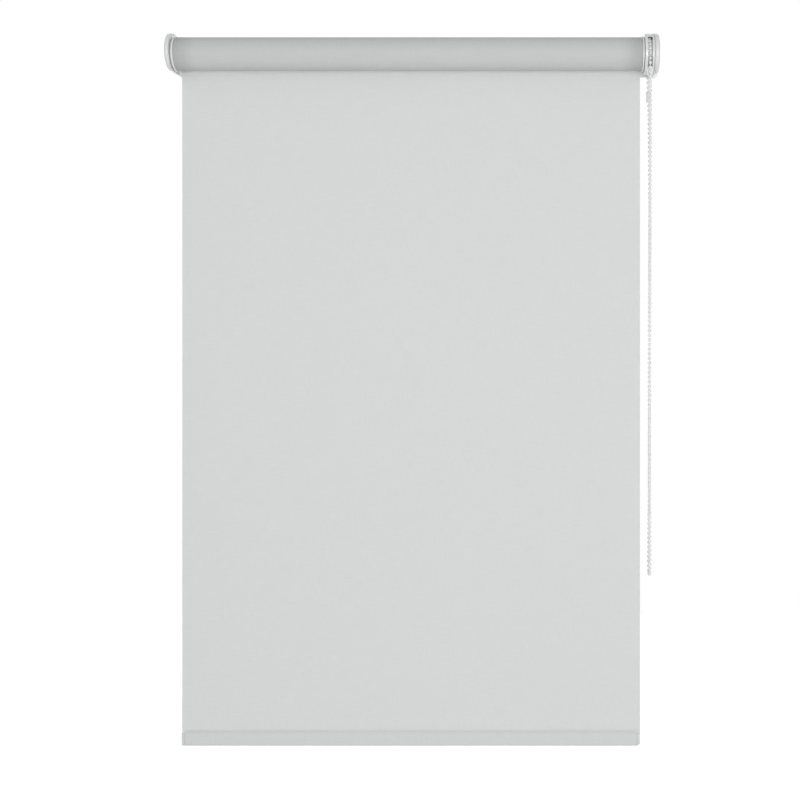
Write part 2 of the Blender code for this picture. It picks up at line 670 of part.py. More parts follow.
def bar_cap(name, side, corner):
    """An end cap with a tongue in the bar; its lower corner may be cut off."""
    inner = side * (HALF_CLOTH - CAP_LENGTH)
    outer = side * HALF_CLOTH
    head = prism(name, slot_outline(HEM_THICKNESS, HEM_HEIGHT), min(inner, outer),
                 max(inner, outer), white_abs, bar_slide, (CLOTH_MIDDLE, hem_middle))
    spigot_thickness = BAR_THICKNESS - 2 * BAR_WALL - 2 * GAP
    spigot_height = BAR_HEIGHT - 2 * BAR_WALL - 2 * GAP
    tongue_end = inner - side * CAP_SPIGOT
    tongue_root = inner + side * CAP_LENGTH / 2
    tongue = prism(f"{name}_tongue_guide", slot_outline(spigot_thickness, spigot_height),
                   min(tongue_end, tongue_root), max(tongue_end, tongue_root), cutter_finish,
                   bar_slide, (CLOTH_MIDDLE, hem_middle))
    combine(head, tongue, "UNION")
    if corner > 0:
        size = corner * math.sqrt(2)
        reach = HEM_THICKNESS
        trim = block(f"{name}_corner_cutter", (outer - size / 2, CLOTH_MIDDLE - reach, -DROP - size / 2),
                     (outer + size / 2, CLOTH_MIDDLE + reach, -DROP + size / 2),
                     cutter_finish, bar_slide)
        trim.rotation_euler = (0, math.radians(45), 0)
        combine(head, trim, "DIFFERENCE")


bar_cap("bar_cap_left", -1, 0)
bar_cap("bar_cap_right", 1, CAP_CORNER)


# ---- Bead chain: a loop over the pulley, closed by a connector on the back strand

front_y = AXIS.y - PITCH_RADIUS
arc_points = []
for step in range(2 * WIRE_POINTS + 1):
    turn = math.pi * step / (2 * WIRE_POINTS)
    arc_points.append(Vector((chain_x, AXIS.y - PITCH_RADIUS * math.cos(turn),
                              PITCH_RADIUS * math.sin(turn))))
wire("chain_on_sprocket", arc_points, BEAD_DIAMETER, 2, bead_plastic, wall_frame, AXIS)

# Each strand's own points: lean outwards along X, half the gap between strands, height
# above the foot of the loop. The strands hang close together and part near the pulley.
FRONT_STRAND = [
    (0.0000, 0.01910, 0.6717), (0.0002, 0.01910, 0.6300), (0.0002, 0.01905, 0.5700),
    (-0.0003, 0.01870, 0.4600), (-0.0008, 0.01800, 0.3500), (-0.0009, 0.01700, 0.2400),
    (-0.0007, 0.01570, 0.1500), (-0.0003, 0.01420, 0.0800), (0.0000, 0.01310, 0.0420),
    (0.0002, 0.01230, 0.0230), (0.0003, 0.01140, 0.0125), (0.0004, 0.00980, 0.0062),
    (0.0004, 0.00730, 0.0026), (0.0004, 0.00380, 0.0007),
]
BACK_STRAND = [
    (0.0005, 0.00380, 0.0007), (0.0006, 0.00730, 0.0026), (0.0007, 0.00980, 0.0062),
    (0.0008, 0.01140, 0.0125), (0.0010, 0.01230, 0.0230), (0.0013, 0.01310, 0.0420),
    (0.0017, 0.01420, 0.0800), (0.0022, 0.01570, 0.1500), (0.0026, 0.01700, 0.2400),
    (0.0030, 0.01800, 0.3500), (0.0031, 0.01870, 0.4600), (0.0026, 0.01905, 0.5700),
    (0.0014, 0.01910, 0.6200), (0.0000, 0.01910, 0.6717),
]


def strand_points(strand, direction):
    points = []
    for lean, half_gap, height in strand:
        y = AXIS.y + direction * half_gap * PITCH_RADIUS / FRONT_STRAND[0][1]
        points.append(Vector((chain_x + lean, y, height - CHAIN_DROP)))
    return points


foot_point = Vector((chain_x + FRONT_STRAND[-1][0], AXIS.y, -CHAIN_DROP))
route = [*strand_points(FRONT_STRAND, -1), foot_point, *strand_points(BACK_STRAND, 1)]
wire("bead_chain", smooth_route(route, 2), BEAD_DIAMETER, 2, bead_plastic, wall_frame,
     (chain_x, AXIS.y, 0))


def connector():
    """A split sleeve that joins the chain's two ends, on the back strand."""
    strand = strand_points(BACK_STRAND, 1)
    middle = strand[CONNECTOR_POINT]
    direction = strand[CONNECTOR_POINT + 1] - strand[CONNECTOR_POINT - 1]
    inner = BEAD_DIAMETER / 2 + GAP
    outer = inner + CONNECTOR_WALL
    half = CONNECTOR_LENGTH / 2
    shape = bmesh.new()
    points = [shape.verts.new((radius, 0, z)) for radius, z in
              ((inner, -half), (outer, -half), (outer, half), (inner, half))]
    edges = [shape.edges.new(pair) for pair in zip(points, points[1:] + points[:1])]
    bmesh.ops.spin(shape, geom=points + edges, cent=(0, 0, 0), axis=(0, 0, 1),
                   angle=2 * math.pi, steps=SIDES_SMALL, use_merge=True)
    sleeve = add_piece("chain_connector", mesh_of("chain_connector", shape), bead_plastic,
                       wall_frame, middle)
    sleeve.rotation_euler = direction.to_track_quat("Z", "Y").to_euler()


connector()
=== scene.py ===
import json
import math

import bmesh
import bpy
from mathutils import Matrix, Vector


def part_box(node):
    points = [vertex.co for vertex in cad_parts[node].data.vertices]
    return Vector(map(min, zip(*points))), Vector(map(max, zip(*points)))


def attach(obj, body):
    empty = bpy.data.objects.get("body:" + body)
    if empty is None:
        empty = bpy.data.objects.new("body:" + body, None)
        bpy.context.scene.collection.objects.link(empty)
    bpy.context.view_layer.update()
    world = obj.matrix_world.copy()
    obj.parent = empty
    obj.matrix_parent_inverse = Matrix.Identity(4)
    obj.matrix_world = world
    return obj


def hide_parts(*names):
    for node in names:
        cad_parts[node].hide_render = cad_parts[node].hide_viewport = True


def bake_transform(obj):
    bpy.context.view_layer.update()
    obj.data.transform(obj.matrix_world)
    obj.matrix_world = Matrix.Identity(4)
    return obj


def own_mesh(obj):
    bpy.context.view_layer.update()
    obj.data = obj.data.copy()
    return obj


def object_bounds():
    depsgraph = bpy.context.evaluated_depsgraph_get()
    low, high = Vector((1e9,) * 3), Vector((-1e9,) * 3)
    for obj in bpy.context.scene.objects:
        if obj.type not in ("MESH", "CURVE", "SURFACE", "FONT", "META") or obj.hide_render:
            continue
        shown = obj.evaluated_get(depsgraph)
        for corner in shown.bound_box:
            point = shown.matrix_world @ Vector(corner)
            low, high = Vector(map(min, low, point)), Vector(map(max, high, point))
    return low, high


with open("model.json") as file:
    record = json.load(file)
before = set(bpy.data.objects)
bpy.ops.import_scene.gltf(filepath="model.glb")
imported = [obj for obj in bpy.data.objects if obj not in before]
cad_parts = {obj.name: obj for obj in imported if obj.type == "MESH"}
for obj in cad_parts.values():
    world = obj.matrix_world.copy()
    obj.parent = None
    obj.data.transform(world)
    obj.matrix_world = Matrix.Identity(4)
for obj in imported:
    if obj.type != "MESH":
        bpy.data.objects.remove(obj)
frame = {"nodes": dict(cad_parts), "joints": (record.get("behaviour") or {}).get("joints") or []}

cad_low, cad_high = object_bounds()

# ---- Camera
# A view camera stands 1.6 m in front of the cloth, square to it, a little to the right of
# the middle and below the roll, with its lens slid over to frame the whole blind.
ACROSS = 0.1559
DISTANCE = 1.607
BELOW_AXIS = 0.3747
view = bpy.data.cameras.new("view_camera")
view.lens = 54.93
view.sensor_width = 36.0
view.shift_x = -0.1625
view.shift_y = -0.07
view_stand = bpy.data.objects.new("view_camera", view)
view_stand.location = (ACROSS, -DISTANCE, -BELOW_AXIS)
view_stand.rotation_euler = (math.pi / 2, 0, 0)
bpy.context.scene.collection.objects.link(view_stand)
bpy.context.scene.camera = view_stand


# ---- Bead chain, the loop that hangs
# Moulded acetal balls on a polyester thread, 4.5 mm across at a 6 mm pitch. The loop comes
# down in front of the pulley, turns at its foot and goes back up behind.
ROLLER = next(joint for joint in frame["joints"] if joint["name"] == "roller_turn")
AXIS = Vector(ROLLER["pos_m"])
BEAD = 0.0045
BEAD_PITCH = 0.006
THREAD = 0.0011
POCKETS = 20
PITCH_RADIUS = POCKETS * BEAD_PITCH / (2 * math.pi)
CHAIN_DROP = 0.672
ROUTE_STEPS = 8
THREAD_SIDES = 6
BALL_SEGMENTS = 10
BALL_RINGS = 7
arc_low, arc_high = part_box("chain_on_sprocket")
CHAIN_X = (arc_low[0] + arc_high[0]) / 2
# lean outwards, half the gap between the strands, height above the foot of the loop
FRONT_STRAND = [
    (0.0000, 0.01910, 0.6717), (0.0002, 0.01910, 0.6300), (0.0002, 0.01905, 0.5700),
    (-0.0003, 0.01870, 0.4600), (-0.0008, 0.01800, 0.3500), (-0.0009, 0.01700, 0.2400),
    (-0.0007, 0.01570, 0.1500), (-0.0003, 0.01420, 0.0800), (0.0000, 0.01310, 0.0420),
    (0.0002, 0.01230, 0.0230), (0.0003, 0.01140, 0.0125), (0.0004, 0.00980, 0.0062),
    (0.0004, 0.00730, 0.0026), (0.0004, 0.00380, 0.0007),
]
BACK_STRAND = [
    (0.0005, 0.00380, 0.0007), (0.0006, 0.00730, 0.0026), (0.0007, 0.00980, 0.0062),
    (0.0008, 0.01140, 0.0125), (0.0010, 0.01230, 0.0230), (0.0013, 0.01310, 0.0420),
    (0.0017, 0.01420, 0.0800), (0.0022, 0.01570, 0.1500), (0.0026, 0.01700, 0.2400),
    (0.0030, 0.01800, 0.3500), (0.0031, 0.01870, 0.4600), (0.0026, 0.01905, 0.5700),
    (0.0014, 0.01910, 0.6200), (0.0000, 0.01910, 0.6717),
]


def strand_points(strand, direction):
    points = []
    for lean, half_gap, height in strand:
        y = AXIS.y + direction * half_gap * PITCH_RADIUS / FRONT_STRAND[0][1]
        points.append(Vector((CHAIN_X + lean, y, height - CHAIN_DROP)))
    return points


def smooth_route(points, steps):
    """A Catmull-Rom curve through the route's own points."""
    ends = [points[0] * 2 - points[1], *points, points[-1] * 2 - points[-2]]
    route = []
    for before, start, end, after in zip(ends, ends[1:], ends[2:], ends[3:]):
        for step in range(steps):
            t = step / steps
            route.append(
                start
                + (end - before) * (t / 2)
                + (before * 2 - start * 5 + end * 4 - after) * (t * t / 2)
                + (start * 3 - before - end * 3 + after) * (t**3 / 2)
            )
    return [*route, points[-1]]


def linear(code):
    """An sRGB hex colour as linear red, green, blue and alpha."""
    parts = [int(code[i:i + 2], 16) / 255 for i in (0, 2, 4)]
    return (*(p / 12.92 if p <= 0.04045 else ((p + 0.055) / 1.055) ** 2.4 for p in parts), 1)


def add_node(tree, kind, settings=None, inputs=None):
    """One node with its settings; an input given as a socket is linked, any other is set."""
    made = tree.nodes.new(kind)
    for name, value in (settings or {}).items():
        setattr(made, name, value)
    for name, value in (inputs or {}).items():
        if isinstance(value, bpy.types.NodeSocket):
            tree.links.new(value, made.inputs[name])
        else:
            made.inputs[name].default_value = value
    return made


DRIFTS_PER_METRE = 35.0
GRAIN_DEPTH = 0.00006
SOAK_DEPTH = 0.002


def moulded_plastic(name, code, shade, roughness, ior, grain_mm, soak=0.0):
    """A moulded surface: its colour drifts, a fine grain breaks up its sheen, light soaks in."""
    made = bpy.data.materials.new(name)
    made.use_nodes = True
    tree = made.node_tree
    shader = tree.nodes["Principled BSDF"]
    shader.inputs["IOR"].default_value = ior
    shader.inputs["Subsurface Weight"].default_value = soak
    shader.inputs["Subsurface Scale"].default_value = SOAK_DEPTH
    shader.inputs["Subsurface Radius"].default_value = (1.0, 1.0, 1.0)
    place = add_node(tree, "ShaderNodeTexCoord")
    flow = add_node(tree, "ShaderNodeTexNoise", inputs={
        "Vector": place.outputs["Object"], "Scale": DRIFTS_PER_METRE, "Detail": 2.0})
    colour = add_node(tree, "ShaderNodeMix", {"data_type": "RGBA"}, {
        "Factor": flow.outputs["Fac"], 6: linear(code), 7: linear(shade)})
    grain = add_node(tree, "ShaderNodeTexNoise", inputs={
        "Vector": place.outputs["Object"], "Scale": 1000.0 / grain_mm, "Detail": 3.0})
    rough = add_node(tree, "ShaderNodeMapRange", inputs={
        "Value": grain.outputs["Fac"], "To Min": roughness * 0.82, "To Max": roughness * 1.2})
    bump = add_node(tree, "ShaderNodeBump", inputs={
        "Strength": 0.25, "Distance": GRAIN_DEPTH, "Height": grain.outputs["Fac"]})
    tree.links.new(colour.outputs[2], shader.inputs["Base Color"])
    tree.links.new(rough.outputs["Result"], shader.inputs["Roughness"])
    tree.links.new(bump.outputs["Normal"], shader.inputs["Normal"])
    return made


# acetal is waxy and slightly see-through, so its balls have soft, bright highlights
acetal = moulded_plastic("acetal_beads", "EFEFEE", "E6E7E6", 0.28, 1.48, 0.9, 0.3)


def geometry_tree(name, sizes):
    """An empty Geometry Nodes tree with named inputs, and the names that a modifier sets."""
    tree = bpy.data.node_groups.new(name, "GeometryNodeTree")
    tree.interface.new_socket("Geometry", in_out="INPUT", socket_type="NodeSocketGeometry")
    tree.interface.new_socket("Geometry", in_out="OUTPUT", socket_type="NodeSocketGeometry")
    keys = {}
    for label, kind in sizes.items():
        keys[label] = tree.interface.new_socket(label, in_out="INPUT", socket_type=kind).identifier
    return tree, keys, tree.nodes.new("NodeGroupInput"), tree.nodes.new("NodeGroupOutput")


def finish_tree(tree, result, geometry):
    """Ends a tree in real, smooth faces with the material, and no instances."""
    real = add_node(tree, "GeometryNodeRealizeInstances", inputs={"Geometry": geometry})
    smooth = add_node(tree, "GeometryNodeSetShadeSmooth", inputs={
        "Geometry": real.outputs["Geometry"]})
    source = next(n for n in tree.nodes if n.bl_idname == "NodeGroupInput")
    coated = add_node(tree, "GeometryNodeSetMaterial", inputs={
        "Geometry": smooth.outputs["Geometry"], "Material": source.outputs["Material"]})
    tree.links.new(coated.outputs["Geometry"], result.inputs["Geometry"])


def settle(piece):
    """Turns what the piece's modifiers make into its plain mesh."""
    scene = bpy.context.evaluated_depsgraph_get()
    worked = bpy.data.meshes.new_from_object(piece.evaluated_get(scene))
    piece.modifiers.clear()
    piece.data = worked


def grown(name, points, edges, tree, keys, values):
    """The plain mesh that a tree makes from a starting mesh of points and edges."""
    start = bpy.data.meshes.new(f"{name}_start")
    start.from_pydata(points, edges, [])
    piece = bpy.data.objects.new(name, start)
    bpy.context.scene.collection.objects.link(piece)
    grow = piece.modifiers.new("grow", "NODES")
    grow.node_group = tree
    for label, value in values.items():
        grow[keys[label]] = value
    settle(piece)
    return piece


def bead_tree():
    """Balls at an even pitch along a line, with a thread through them."""
    tree, keys, source, result = geometry_tree("bead_chain", {
        "Ball diameter": "NodeSocketFloat", "Thread diameter": "NodeSocketFloat",
        "Balls": "NodeSocketInt", "Material": "NodeSocketMaterial"})
    line = add_node(tree, "GeometryNodeMeshToCurve", inputs={"Mesh": source.outputs["Geometry"]})
    half_thread = add_node(tree, "ShaderNodeMath", {"operation": "DIVIDE"}, {
        0: source.outputs["Thread diameter"], 1: 2.0})
    ring = add_node(tree, "GeometryNodeCurvePrimitiveCircle", inputs={
        "Resolution": THREAD_SIDES, "Radius": half_thread.outputs[0]})
    thread = add_node(tree, "GeometryNodeCurveToMesh", inputs={
        "Curve": line.outputs["Curve"], "Profile Curve": ring.outputs["Curve"],
        "Fill Caps": True})
    length = add_node(tree, "GeometryNodeCurveLength", inputs={"Curve": line.outputs["Curve"]})
    pitch = add_node(tree, "ShaderNodeMath", {"operation": "DIVIDE"}, {
        0: length.outputs["Length"], 1: source.outputs["Balls"]})
    number = add_node(tree, "GeometryNodeInputIndex")
    middle = add_node(tree, "ShaderNodeMath", {"operation": "ADD"}, {
        0: number.outputs["Index"], 1: 0.5})
    along = add_node(tree, "ShaderNodeMath", {"operation": "MULTIPLY"}, {
        0: middle.outputs[0], 1: pitch.outputs[0]})
    spot = add_node(tree, "GeometryNodeSampleCurve", {"mode": "LENGTH"}, {
        "Curves": line.outputs["Curve"], "Length": along.outputs[0]})
    dots = add_node(tree, "GeometryNodePoints", inputs={"Count": source.outputs["Balls"]})
    placed = add_node(tree, "GeometryNodeSetPosition", inputs={
        "Geometry": dots.outputs["Geometry"], "Position": spot.outputs["Position"]})
    turn = add_node(tree, "FunctionNodeAlignRotationToVector", {"axis": "Z"}, {
        "Vector": spot.outputs["Tangent"]})
    half_ball = add_node(tree, "ShaderNodeMath", {"operation": "DIVIDE"}, {
        0: source.outputs["Ball diameter"], 1: 2.0})
    ball = add_node(tree, "GeometryNodeMeshUVSphere", inputs={
        "Segments": BALL_SEGMENTS, "Rings": BALL_RINGS, "Radius": half_ball.outputs[0]})
    balls = add_node(tree, "GeometryNodeInstanceOnPoints", inputs={
        "Points": placed.outputs["Geometry"], "Instance": ball.outputs["Mesh"],
        "Rotation": turn.outputs["Rotation"]})
    both = add_node(tree, "GeometryNodeJoinGeometry")
    tree.links.new(thread.outputs["Mesh"], both.inputs[0])
    tree.links.new(balls.outputs["Instances"], both.inputs[0])
    finish_tree(tree, result, both.outputs["Geometry"])
    return tree, keys


def bead_run(name, points):
    """A stretch of chain along the points, its balls half a pitch in from each end."""
    length = sum((b - a).length for a, b in zip(points, points[1:]))
    values = {"Ball diameter": BEAD, "Thread diameter": THREAD, "Material": acetal,
              "Balls": round(length / BEAD_PITCH)}
    edges = [(i, i + 1) for i in range(len(points) - 1)]
    return grown(name, points, edges, BEAD_TREE, BEAD_KEYS, values), length


BEAD_TREE, BEAD_KEYS = bead_tree()
loop_foot = Vector((CHAIN_X + FRONT_STRAND[-1][0], AXIS.y, -CHAIN_DROP))
loop_route = [*strand_points(FRONT_STRAND, -1), loop_foot, *strand_points(BACK_STRAND, 1)]
loop_line = smooth_route(loop_route, ROUTE_STEPS)
chain_loop, loop_length = bead_run("chain_loop", loop_line)
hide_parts("bead_chain")
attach(chain_loop, "wall_frame")


# ---- Chain over the pulley
# The same chain where it lies in the pulley's pockets, half way round, one ball to a pocket.
OVER_STEPS = 60


def round_pulley(angle):
    """The point of the chain's line at that angle up from the front of the pulley."""
    return Vector((CHAIN_X, AXIS.y - PITCH_RADIUS * math.cos(angle),
                   PITCH_RADIUS * math.sin(angle)))


over_pulley = [round_pulley(math.pi * step / OVER_STEPS) for step in range(OVER_STEPS + 1)]
chain_over, _ = bead_run("chain_over_pulley", over_pulley)
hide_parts("chain_on_sprocket")
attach(chain_over, "wall_frame")


# ---- Chain joiner
# A split acetal sleeve that snaps over the last ball of each end and makes the chain a loop.
# It is on the back strand, and its ends are rounded so that they don't catch.
SHARP_DEGREES = 35
CORNER_SHARE = 0.45  # the most of an edge that a round takes, so that two never meet


def piece_from(name, shape, finish, sharp=SHARP_DEGREES):
    """A shaded piece from a worked shape, at the origin."""
    bmesh.ops.remove_doubles(shape, verts=shape.verts, dist=1e-7)
    bmesh.ops.recalc_face_normals(shape, faces=shape.faces)
    data = bpy.data.meshes.new(name)
    shape.to_mesh(data)
    shape.free()
    data.materials.append(finish)
    data.shade_smooth()
    data.set_sharp_from_angle(angle=math.radians(sharp))
    piece = bpy.data.objects.new(name, data)
    bpy.context.scene.collection.objects.link(piece)
    return piece


def rounded_corners(outline, radius, steps):
    """The closed outline with each corner cut to a round of that radius."""
    points = []
    neighbours = zip(outline[-1:] + outline[:-1], outline, outline[1:] + outline[:1])
    for before, corner, after in neighbours:
        corner, back, on = Vector(corner), Vector(before), Vector(after)
        inward, outward = back - corner, on - corner
        reach = min(radius, inward.length * CORNER_SHARE, outward.length * CORNER_SHARE)
        start = corner + inward.normalized() * reach
        end = corner + outward.normalized() * reach
        for step in range(steps + 1):
            t = step / steps
            points.append(start * (1 - t) ** 2 + corner * (2 * t * (1 - t)) + end * t**2)
    return points


def lathe(outline, sides, edge, steps=3):
    """A ring turned about X from (x, radius) corners, whose edges are rounded."""
    shape = bmesh.new()
    loop = rounded_corners(outline, edge, steps)
    points = [shape.verts.new((x, 0, radius)) for x, radius in loop]
    edges = [shape.edges.new(pair) for pair in zip(points, points[1:] + points[:1])]
    bmesh.ops.spin(shape, geom=points + edges, cent=(0, 0, 0), axis=(1, 0, 0),
                   angle=2 * math.pi, steps=sides, use_merge=True)
    return shape


join_low, join_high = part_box("chain_connector")
join_middle = (Vector(join_low) + Vector(join_high)) / 2
JOIN_LENGTH = 0.013
JOIN_OUTER = 0.0035
JOIN_INNER = 0.0024
JOIN_WAIST = 0.0031
JOIN_EDGE = 0.0006
JOIN_SIDES = 32
joiner = lathe([
    (-JOIN_LENGTH / 2, JOIN_INNER), (-JOIN_LENGTH / 2, JOIN_WAIST),
    (-JOIN_LENGTH / 5, JOIN_OUTER), (-JOIN_LENGTH / 18, JOIN_WAIST),
    (JOIN_LENGTH / 18, JOIN_WAIST), (JOIN_LENGTH / 5, JOIN_OUTER),
    (JOIN_LENGTH / 2, JOIN_WAIST), (JOIN_LENGTH / 2, JOIN_INNER)], JOIN_SIDES, JOIN_EDGE)
lies_along = (loop_route[-1] - loop_route[-3]).to_track_quat("X", "Y").to_matrix().to_4x4()
join_place = Matrix.Translation(join_middle) @ lies_along
bmesh.ops.transform(joiner, matrix=join_place, verts=joiner.verts)
chain_joiner = piece_from("chain_joiner", joiner, acetal)
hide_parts("chain_connector")
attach(chain_joiner, "wall_frame")


# ---- Studio
# A pale glowing floor that clears the hem even when all the cloth is let out, and a white room
# with a brighter backdrop behind the cloth. A broad low lamp in front lights the blind, with a
# weaker one at the left.
FLOOR_GAP = 0.30
FLOOR_REACH = 9.0
FLOOR_GLOW = 0.4
LIFT = next(joint for joint in frame["joints"] if joint["name"] == "bar_lift")
floor_height = cad_low[2] + LIFT["range_m"][0] - FLOOR_GAP
floor_shape = bmesh.new()
bmesh.ops.create_grid(floor_shape, x_segments=1, y_segments=1, size=FLOOR_REACH)
bmesh.ops.translate(floor_shape, verts=floor_shape.verts, vec=(0, 0, floor_height))
painted_floor = bpy.data.materials.new("white_painted_floor")
painted_floor.use_nodes = True
floor_tree = painted_floor.node_tree
floor_place = add_node(floor_tree, "ShaderNodeTexCoord")
floor_drift = add_node(floor_tree, "ShaderNodeTexNoise", inputs={
    "Vector": floor_place.outputs["Object"], "Scale": 0.6})
floor_colour = add_node(floor_tree, "ShaderNodeMix", {"data_type": "RGBA"}, {
    "Factor": floor_drift.outputs["Fac"], 6: linear("FDFDFD"), 7: linear("FAFAFA")})
floor_shader = floor_tree.nodes["Principled BSDF"]
floor_shader.inputs["Roughness"].default_value = 0.9
floor_shader.inputs["Emission Color"].default_value = linear("FFFFFF")
floor_shader.inputs["Emission Strength"].default_value = FLOOR_GLOW
floor_tree.links.new(floor_colour.outputs[2], floor_shader.inputs["Base Color"])
floor = piece_from("studio_floor", floor_shape, painted_floor)
floor.visible_diffuse = False  # its glow is only to be looked at, and lights nothing

ROOM_LIGHT = 0.49
BACKDROP_LIGHT = 1.75
BACKDROP_EDGE = 0.35
BACKDROP_FULL = 0.8
room = bpy.data.worlds.new("white_room")
room.use_nodes = True
room_tree = room.node_tree
toward = add_node(room_tree, "ShaderNodeTexCoord")
bearing = add_node(room_tree, "ShaderNodeSeparateXYZ", inputs={0: toward.outputs["Generated"]})
backdrop = add_node(room_tree, "ShaderNodeMapRange", {"interpolation_type": "SMOOTHSTEP"}, {
    "Value": bearing.outputs["Y"], "From Min": BACKDROP_EDGE, "From Max": BACKDROP_FULL,
    "To Min": ROOM_LIGHT, "To Max": BACKDROP_LIGHT})
looked_at = add_node(room_tree, "ShaderNodeLightPath")
brightness = add_node(room_tree, "ShaderNodeMix", {"data_type": "FLOAT"}, {
    0: looked_at.outputs["Is Camera Ray"], 2: backdrop.outputs["Result"], 3: 1.0})
room_glow = room_tree.nodes["Background"]
room_glow.inputs["Color"].default_value = linear("FFFFFF")
room_tree.links.new(brightness.outputs[0], room_glow.inputs["Strength"])
bpy.context.scene.world = room


def soft_lamp(name, place, side, power):
    """A square lamp that faces the middle of the roll."""
    data = bpy.data.lights.new(name, "AREA")
    data.shape = "SQUARE"
    data.size = side
    data.energy = power
    lamp = bpy.data.objects.new(name, data)
    lamp.location = place
    lamp.rotation_euler = (AXIS - Vector(place)).to_track_quat("-Z", "Y").to_euler()
    bpy.context.scene.collection.objects.link(lamp)


soft_lamp("front_softbox", (0.4, -2.55, -0.5), 0.9, 33.0)
soft_lamp("left_softbox", (-2.2, -1.8, 0.6), 1.2, 2.5)
bpy.context.scene.view_settings.view_transform = "Standard"


# ---- Cloth
# Plain-woven grey polyester, about half a millimetre thick. Light from behind comes through
# where it hangs as one layer, so it looks paler there than on the roll.
CLOTH_THICKNESS = 0.0005
THREAD_MM = 0.9  # the real threads are 0.3 mm apart; drawn coarser so that they show
SLUB_MM = 16.0
WEAVE_DEPTH = 0.00012
# how far in from each side edge of the cloth the painted shade reaches
END_SHADE_WIDTH = 0.030
roll_low, roll_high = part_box("fabric_roll")
CLOTH_WIDTH = roll_high[0] - roll_low[0]


def woven_polyester(name, code, shade, through, end_shade=0.0):
    """Crossed threads along the u and v of the cloth's own map, darkened towards its side edges by
    painted shade.
    """
    made = bpy.data.materials.new(name)
    made.use_nodes = True
    tree = made.node_tree
    shader = tree.nodes["Principled BSDF"]
    shader.inputs["IOR"].default_value = 1.5
    shader.inputs["Roughness"].default_value = 0.88
    shader.inputs["Sheen Weight"].default_value = 0.12
    shader.inputs["Sheen Roughness"].default_value = 0.6
    shader.inputs["Specular IOR Level"].default_value = 0.25
    cut = add_node(tree, "ShaderNodeUVMap", {"uv_map": "cut_cloth"})
    threads = []
    fine, long = 1000 / THREAD_MM, 1000 / SLUB_MM
    for across, along in ((fine, long), (long, fine)):
        stretched = add_node(tree, "ShaderNodeMapping", inputs={
            "Vector": cut.outputs["UV"], "Scale": (across, along, 1.0)})
        threads.append(add_node(tree, "ShaderNodeTexNoise", {"noise_dimensions": "2D"}, {
            "Vector": stretched.outputs["Vector"], "Scale": 1.0, "Detail": 1.0}))
    weave = add_node(tree, "ShaderNodeMath", {"operation": "ADD"}, {
        0: threads[0].outputs["Fac"], 1: threads[1].outputs["Fac"]})
    depth = add_node(tree, "ShaderNodeMapRange", inputs={
        "Value": weave.outputs[0], "From Min": 0.7, "From Max": 1.3})
    colour = add_node(tree, "ShaderNodeMix", {"data_type": "RGBA"}, {
        "Factor": depth.outputs["Result"], 6: linear(shade), 7: linear(code)})
    halves = add_node(tree, "ShaderNodeSeparateXYZ", inputs={0: cut.outputs["UV"]})
    off_middle = add_node(tree, "ShaderNodeMath", {"operation": "SUBTRACT"}, {
        0: halves.outputs["X"], 1: CLOTH_WIDTH / 2})
    outward = add_node(tree, "ShaderNodeMath", {"operation": "ABSOLUTE"}, {
        0: off_middle.outputs[0]})
    # painted shade: the colour is darkened towards both side edges, by the given share at the very
    # edge
    end_shade_mask = add_node(tree, "ShaderNodeMapRange", {"interpolation_type": "SMOOTHSTEP"}, {
        "Value": outward.outputs[0], "From Min": CLOTH_WIDTH / 2 - END_SHADE_WIDTH,
        "From Max": CLOTH_WIDTH / 2, "To Min": 1.0, "To Max": 1.0 - end_shade})
    greyed = add_node(tree, "ShaderNodeVectorMath", {"operation": "SCALE"}, {
        0: colour.outputs[2], "Scale": end_shade_mask.outputs["Result"]})
    bump = add_node(tree, "ShaderNodeBump", inputs={
        "Strength": 0.35, "Distance": WEAVE_DEPTH, "Height": weave.outputs[0]})
    glow = add_node(tree, "ShaderNodeBsdfTranslucent", inputs={"Color": linear("FDFDFD")})
    both = add_node(tree, "ShaderNodeMixShader", inputs={
        0: through, 1: shader.outputs["BSDF"], 2: glow.outputs["BSDF"]})
    tree.links.new(greyed.outputs[0], shader.inputs["Base Color"])
    tree.links.new(bump.outputs["Normal"], shader.inputs["Normal"])
    tree.links.new(both.outputs["Shader"], tree.nodes["Material Output"].inputs["Surface"])
    return made


polyester = woven_polyester("woven_polyester", "DADDDC", "D5D8D7", 0.30)


def cloth_band(name, line, x_low, x_high, columns, finish, sway=None):
    """A band of cloth across X, its middle on the (y, z) points; sway moves it along Y."""
    shape = bmesh.new()
    cut = shape.loops.layers.uv.new("cut_cloth")
    length = 0.0
    rows = []
    for i, (y, z) in enumerate(line):
        before, after = Vector(line[max(i - 1, 0)]), Vector(line[min(i + 1, len(line) - 1)])
        ahead = (after - before).normalized()
        out = Vector((-ahead.y, ahead.x)) * (CLOTH_THICKNESS / 2)
        if i:
            length += (Vector(line[i]) - Vector(line[i - 1])).length
        row = []
        for side in (1, -1):
            for column in range(columns + 1):
                x = x_low + (x_high - x_low) * column / columns
                moved = sway(x, z) if sway else 0.0
                at = (x, y + side * out.x + moved, z + side * out.y)
                row.append((shape.verts.new(at), (x - x_low, length)))
        rows.append(row)
    wide = columns + 1

    def face(*corners):
        made = shape.faces.new([vert for vert, _ in corners])
        for loop, (_, place) in zip(made.loops, corners):
            loop[cut].uv = place

    for lower, upper in zip(rows, rows[1:]):
        for i in range(columns):
            face(lower[i], lower[i + 1], upper[i + 1], upper[i])
            face(lower[wide + i + 1], lower[wide + i], upper[wide + i], upper[wide + i + 1])
        face(lower[wide], lower[0], upper[0], upper[wide])
        face(lower[columns], lower[wide + columns], upper[wide + columns], upper[columns])
    for row, turn in ((rows[0], 1), (rows[-1], -1)):
        for i in range(columns):
            corners = [row[i], row[wide + i], row[wide + i + 1], row[i + 1]]
            face(*corners[::turn])
    return piece_from(name, shape, finish)


